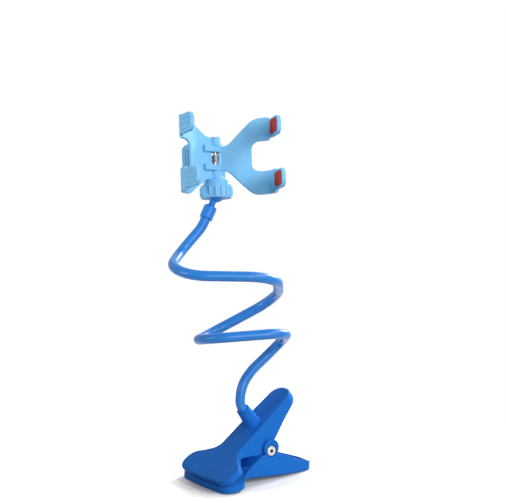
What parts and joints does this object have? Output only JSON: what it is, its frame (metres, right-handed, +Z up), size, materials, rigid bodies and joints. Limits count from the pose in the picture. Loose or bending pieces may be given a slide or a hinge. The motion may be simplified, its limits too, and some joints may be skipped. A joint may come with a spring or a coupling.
{
  "type": "gooseneck phone holder",
  "caption": "Gooseneck phone holder: a sprung table clip with wide lips, a plastic-covered bending neck in loose turns, and a sprung finger claw on a ball joint.",
  "frame": {"origin": "on the table, under the middle of the whole outline seen from above", "axes": "+X from the clip's lips to its handles, +Z up, -Y is the side the phone faces"},
  "size_m": [0.1326, 0.1146, 0.2969],
  "materials": {
    "clip_abs": "satin moulded",
    "neck_plastic": "satin extruded",
    "claw_abs": "satin moulded",
    "ball_plastic": "satin moulded",
    "seat_nylon": "plain moulded",
    "pad_rubber": "matt moulded",
    "grip_rubber": "matt moulded",
    "plated_steel": "nickel plated",
    "spring_steel": "drawn wire",
    "core_aluminium": "drawn wire"
  },
  "bodies": {
    "lower_lever": {"lower_jaw": "clip_abs", "lower_jaw_pad": "grip_rubber", "pivot_rivet": "plated_steel", "jaw_spring": "spring_steel"},
    "upper_lever": {"upper_jaw": "clip_abs", "upper_jaw_pad": "grip_rubber", "neck_washer": "plated_steel", "neck_nut": "plated_steel", "neck_jacket": "neck_plastic", "neck_core_wire": "core_aluminium"},
    "ball": {"ball_end": "ball_plastic"},
    "seat": {"ball_seat": "seat_nylon"},
    "claw_base": {"fixed_claw": "claw_abs", "claw_pin": "plated_steel", "claw_spring": "spring_steel", "lower_fixed_pad": "pad_rubber", "upper_fixed_pad": "pad_rubber"},
    "clamp_ring": {"ring_nut": "claw_abs"},
    "claw_jaw": {"moving_claw": "claw_abs", "lower_moving_pad": "pad_rubber", "upper_moving_pad": "pad_rubber"}
  },
  "joints": [
    {"name": "clip_open", "type": "hinge", "parent": "lower_lever", "child": "upper_lever", "pos_m": [0.01954, -0.00658, 0.02388], "axis": [0, 1, 0], "range_deg": [0, 40], "stiffness_Nm_per_rad": 1.5, "springref_deg": -28.65, "deforming": ["jaw_spring"]},
    {"name": "ball_turn", "type": "hinge", "parent": "upper_lever", "child": "ball", "pos_m": [-0.00506, 0.01912, 0.2296], "axis": [0.5143, 0.0799, 0.8539], "range_deg": [-40, 40]},
    {"name": "ball_tilt", "type": "hinge", "parent": "ball", "child": "seat", "pos_m": [-0.00506, 0.01912, 0.2296], "axis": [-0.2113, -0.9532, 0.2164], "range_deg": [-50, 8]},
    {"name": "claw_spin", "type": "hinge", "parent": "seat", "child": "claw_base", "pos_m": [-0.00506, 0.01912, 0.2296], "axis": [0.0979, 0.1997, 0.975], "range_deg": [-90, 90]},
    {"name": "ring_nut_turn", "type": "hinge", "parent": "claw_base", "child": "clamp_ring", "pos_m": [-0.00506, 0.01912, 0.2296], "axis": [0.0979, 0.1997, 0.975], "range_deg": [-20, 90]},
    {"name": "claw_open", "type": "hinge", "parent": "claw_base", "child": "claw_jaw", "pos_m": [-0.00229, 0.02477, 0.25719], "axis": [0.0979, 0.1997, 0.975], "range_deg": [0, 36], "stiffness_Nm_per_rad": 0.25, "springref_deg": -68.75, "deforming": ["claw_spring"]}
  ]
}
